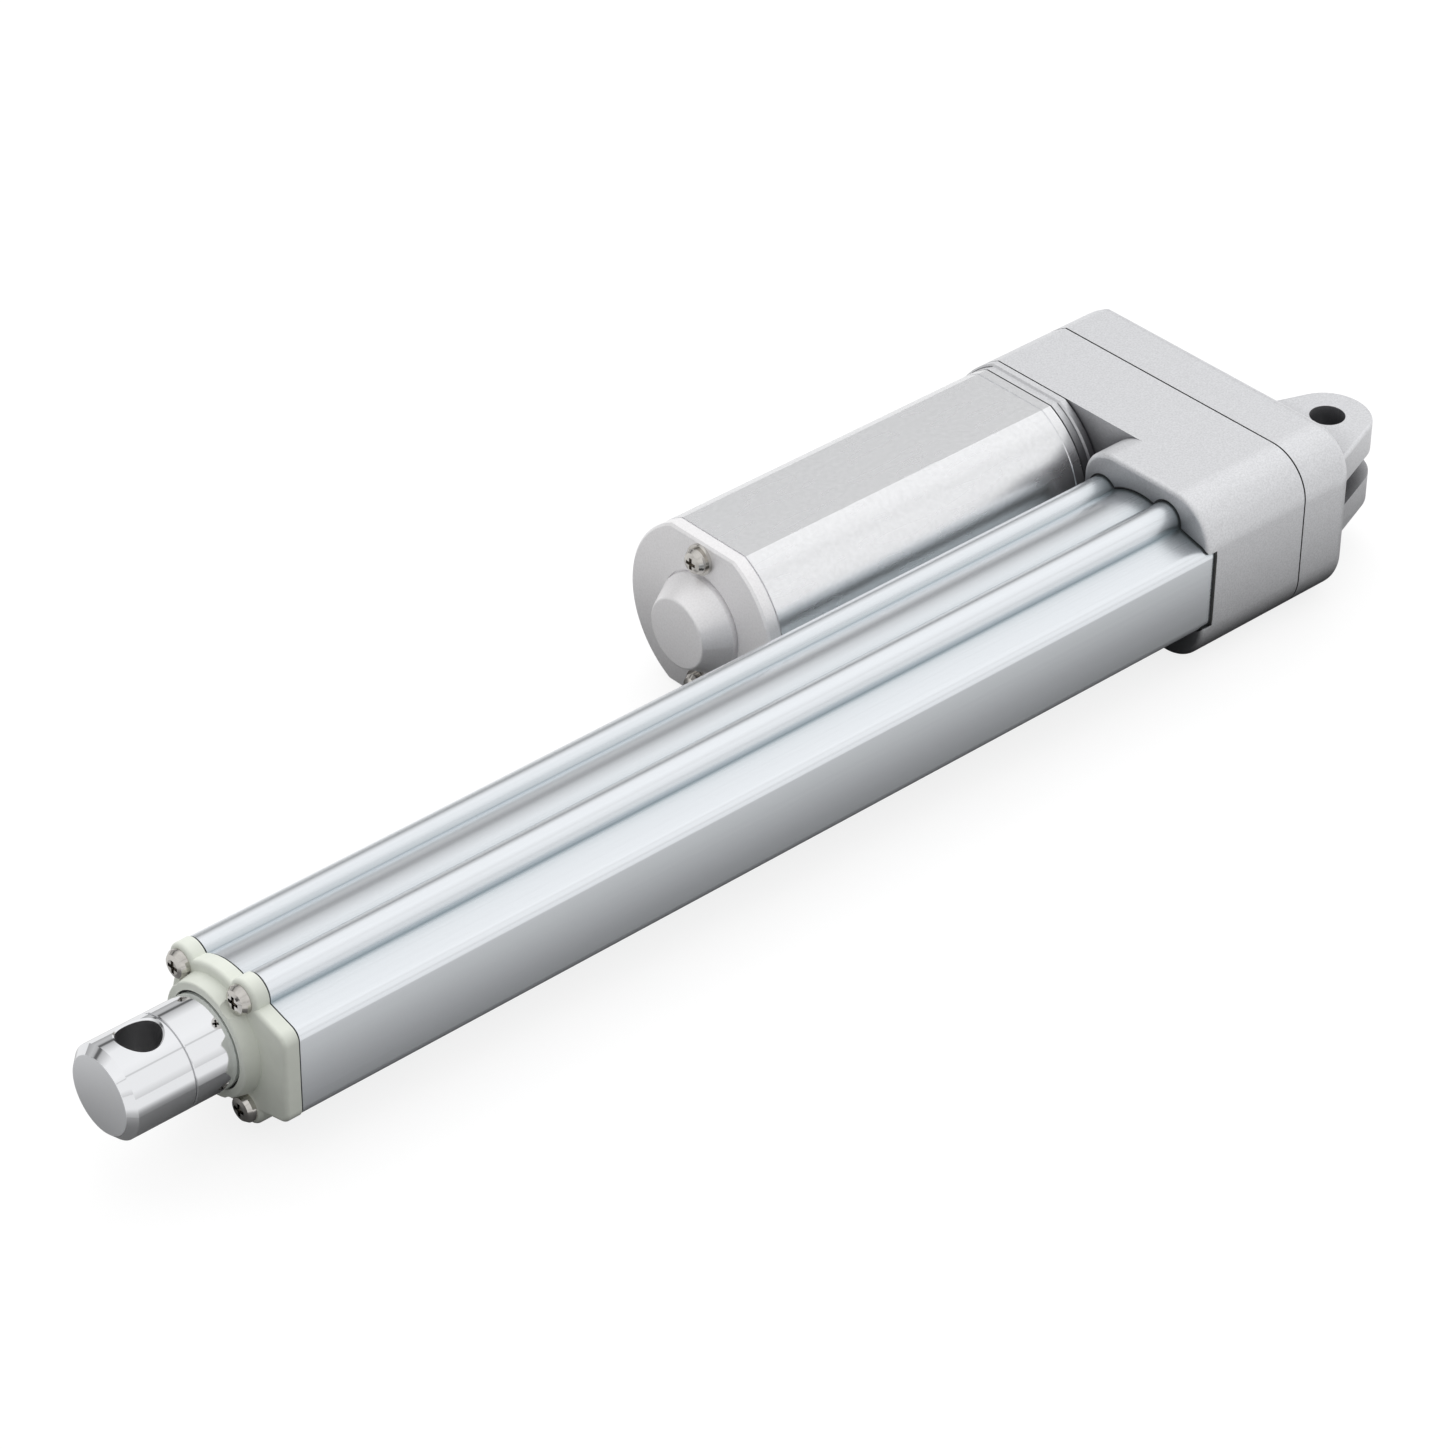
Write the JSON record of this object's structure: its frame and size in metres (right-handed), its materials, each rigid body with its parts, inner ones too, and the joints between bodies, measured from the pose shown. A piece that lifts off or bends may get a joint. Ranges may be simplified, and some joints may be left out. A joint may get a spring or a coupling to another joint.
{
  "type": "electric linear actuator",
  "caption": "Electric linear actuator: chromed rod with a cross-drilled end, extruded tube, gearbox with a forked clevis, and a motor beside the tube.",
  "frame": {"origin": "centre of the rear clevis bore, half way between its two ears", "axes": "+X along the rod as it comes out, +Z along both pivot bores, the motor lies on the -Y side"},
  "size_m": [0.3448, 0.0856, 0.0406],
  "materials": {
    "case_paint": "fine-textured silver grey paint",
    "tube_aluminium": "satin anodised",
    "rod_chrome": "mirror chrome",
    "rod_end_steel": "chromed, with a turned end face",
    "cap_plastic": "ivory moulded plastic",
    "motor_cap_paint": "satin silver-grey",
    "motor_can_metal": "satin silver",
    "gasket_rubber": "black rubber",
    "screw_nickel": "nickel plated",
    "spindle_steel": "rolled steel",
    "gear_steel": "machined steel",
    "gear_plastic": "white engineering plastic",
    "bronze": "sintered bronze",
    "nut_plastic": "filled plastic",
    "core_steel": "stacked sheet steel",
    "copper": "enamelled copper",
    "carbon": "pressed carbon",
    "ferrite": "sintered ferrite",
    "board_green": "printed circuit board",
    "sensor_glass": "sealed glass",
    "brush_plastic": "moulded brush plate"
  },
  "bodies": {
    "root": {"gearbox_housing": "case_paint", "gearbox_cover": "case_paint", "gearbox_gasket": "gasket_rubber", "gearbox_cover_screws": "screw_nickel", "cable_grommet": "gasket_rubber", "outer_tube": "tube_aluminium", "tube_gasket": "gasket_rubber", "tube_screws": "screw_nickel", "cap_gasket": "gasket_rubber", "front_cap": "cap_plastic", "front_cap_screws": "screw_nickel", "rod_guide_bush": "bronze", "rod_wiper": "gasket_rubber", "bearing_outer_race": "gear_steel", "bearing_circlip": "spindle_steel", "spindle_rear_bush": "bronze", "idler_axle": "spindle_steel", "idler_washers": "gear_steel", "motor_flange": "case_paint", "motor_can": "motor_can_metal", "motor_end_cap": "motor_cap_paint", "motor_bushes": "bronze", "motor_bolts": "screw_nickel", "motor_bolt_washers": "screw_nickel", "motor_mount_screws": "screw_nickel", "motor_magnets": "ferrite", "brush_holder": "brush_plastic", "brushes": "carbon", "brush_springs": "spindle_steel", "sensor_board": "board_green", "end_sensors": "sensor_glass"},
    "rotor": {"motor_pinion": "gear_steel", "motor_shaft": "spindle_steel", "armature_core": "core_steel", "armature_windings": "copper", "commutator": "copper"},
    "idler": {"idler_wheel": "gear_plastic", "idler_pinion": "gear_steel"},
    "spindle": {"lead_screw": "spindle_steel", "spindle_gear": "gear_steel", "spindle_circlip": "spindle_steel", "bearing_inner_race": "gear_steel", "spindle_end_disc": "gear_steel", "spindle_end_screw": "screw_nickel"},
    "bearing_cage_ring": {"bearing_cage": "bronze", "bearing_balls": "gear_steel"},
    "rod": {"rod_tube": "rod_chrome", "rod_end": "rod_end_steel", "drive_nut": "nut_plastic", "nut_magnet": "ferrite"}
  },
  "joints": [
    {"name": "motor_spin", "type": "hinge", "parent": "root", "child": "rotor", "pos_m": [0.09, -0.0424, 0], "axis": [-1, 0, 0], "range_deg": [0, 83314.2]},
    {"name": "idler_spin", "type": "hinge", "parent": "root", "child": "idler", "pos_m": [0.035, -0.0224, 0], "axis": [-1, 0, 0], "range_deg": [-32400, 0]},
    {"name": "spindle_spin", "type": "hinge", "parent": "root", "child": "spindle", "pos_m": [0.05, 0, 0], "axis": [-1, 0, 0], "range_deg": [0, 18000]},
    {"name": "bearing_cage_spin", "type": "hinge", "parent": "root", "child": "bearing_cage_ring", "pos_m": [0.0505, 0, 0], "axis": [-1, 0, 0], "range_deg": [0, 6750]},
    {"name": "rod_slide", "type": "slide", "parent": "root", "child": "rod", "axis": [1, 0, 0], "range_m": [0, 0.2]}
  ],
  "couplings": [
    {"joint": "idler_spin", "follows": "motor_spin", "ratio": -0.38889},
    {"joint": "spindle_spin", "follows": "motor_spin", "ratio": 0.21605},
    {"joint": "bearing_cage_spin", "follows": "motor_spin", "ratio": 0.079506},
    {"joint": "rod_slide", "follows": "motor_spin", "m_per_rad": 0.00013754}
  ]
}
